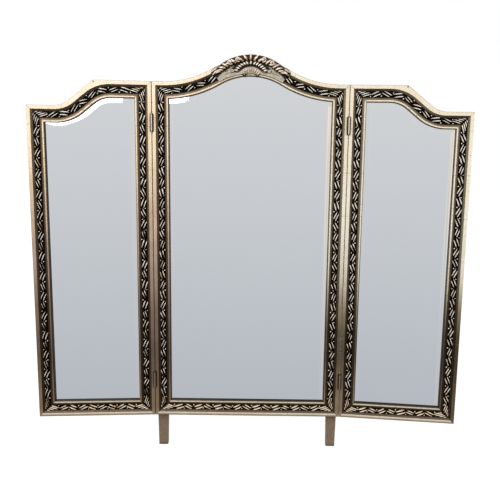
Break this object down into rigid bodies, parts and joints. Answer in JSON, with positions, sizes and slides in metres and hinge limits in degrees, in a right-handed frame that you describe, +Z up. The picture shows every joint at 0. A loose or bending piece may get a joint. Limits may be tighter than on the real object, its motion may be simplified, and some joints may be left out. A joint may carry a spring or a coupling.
{
  "type": "trifold floor mirror",
  "caption": "Three-panel folding floor mirror: arched centre with carved crest, two hinged wings, leaf-band frames, flat posts and a rear prop.",
  "frame": {"origin": "on the floor, under the middle of the object's box as it stands with its wings at rest", "axes": "+Z up; the mirrors face -Y; +X is to the right of someone who looks into the centre mirror; X is the longest extent and Y the shortest"},
  "size_m": [1.7187, 0.5936, 1.5955],
  "materials": {
    "champagne_gilding": "champagne silver leaf over gesso on moulded wood, toned darker towards the foot",
    "carved_band": "silvered leaf ornament with a black-brown patina in its hollows",
    "carved_crest": "silvered carving with a black-brown patina in its hollows",
    "mirror_glass": "silvered plate glass",
    "backboard_ply": "bare plywood",
    "bare_pine": "bare pine",
    "painted_wood": "taupe paint on beech",
    "aged_brass": "dulled cast brass",
    "zinc_steel": "zinc plated steel",
    "pad_rubber": "black rubber"
  },
  "bodies": {
    "centre_panel": {"centre_left_stile": "champagne_gilding", "centre_right_stile": "champagne_gilding", "centre_bottom_rail": "champagne_gilding", "centre_top_rail": "champagne_gilding", "centre_leaf_band": "carved_band", "centre_glass": "mirror_glass", "centre_backboard": "backboard_ply", "centre_battens": "bare_pine", "crest": "carved_crest", "left_upper_hinge_centre_leaf": "aged_brass", "left_upper_hinge_pin": "aged_brass", "left_lower_hinge_centre_leaf": "aged_brass", "left_lower_hinge_pin": "aged_brass", "right_upper_hinge_centre_leaf": "aged_brass", "right_upper_hinge_pin": "aged_brass", "right_lower_hinge_centre_leaf": "aged_brass", "right_lower_hinge_pin": "aged_brass", "centre_hinge_screws": "aged_brass", "left_post": "painted_wood", "right_post": "painted_wood", "cross_rail": "painted_wood", "cross_rail_dowels": "bare_pine", "post_screws": "zinc_steel", "left_prop_bracket": "zinc_steel", "right_prop_bracket": "zinc_steel", "bracket_screws": "zinc_steel", "prop_pivot_pins": "zinc_steel"},
    "left_wing": {"left_wing_hinge_stile": "champagne_gilding", "left_wing_outer_stile": "champagne_gilding", "left_wing_bottom_rail": "champagne_gilding", "left_wing_top_rail": "champagne_gilding", "left_wing_leaf_band": "carved_band", "left_wing_glass": "mirror_glass", "left_wing_backboard": "backboard_ply", "left_wing_battens": "bare_pine", "left_upper_hinge_wing_leaf": "aged_brass", "left_lower_hinge_wing_leaf": "aged_brass", "left_wing_hinge_screws": "aged_brass"},
    "right_wing": {"right_wing_hinge_stile": "champagne_gilding", "right_wing_outer_stile": "champagne_gilding", "right_wing_bottom_rail": "champagne_gilding", "right_wing_top_rail": "champagne_gilding", "right_wing_leaf_band": "carved_band", "right_wing_glass": "mirror_glass", "right_wing_backboard": "backboard_ply", "right_wing_battens": "bare_pine", "right_upper_hinge_wing_leaf": "aged_brass", "right_lower_hinge_wing_leaf": "aged_brass", "right_wing_hinge_screws": "aged_brass"},
    "prop": {"left_prop_leg": "painted_wood", "right_prop_leg": "painted_wood", "prop_upper_bar": "painted_wood", "prop_lower_bar": "painted_wood", "prop_bar_screws": "zinc_steel", "prop_pads": "pad_rubber"}
  },
  "joints": [
    {"name": "left_wing_hinge", "type": "hinge", "parent": "centre_panel", "child": "left_wing", "pos_m": [-0.3835, -0.24935, 0.15276], "axis": [0, 0.1736, 0.9848], "range_deg": [-4, 176]},
    {"name": "right_wing_hinge", "type": "hinge", "parent": "centre_panel", "child": "right_wing", "pos_m": [0.3835, -0.24935, 0.15276], "axis": [0, -0.1736, -0.9848], "range_deg": [-6.5, 166.5]},
    {"name": "prop_hinge", "type": "hinge", "parent": "centre_panel", "child": "prop", "pos_m": [0, -0.01596, 1.05595], "axis": [-1, 0, 0], "range_deg": [0, 26]}
  ]
}
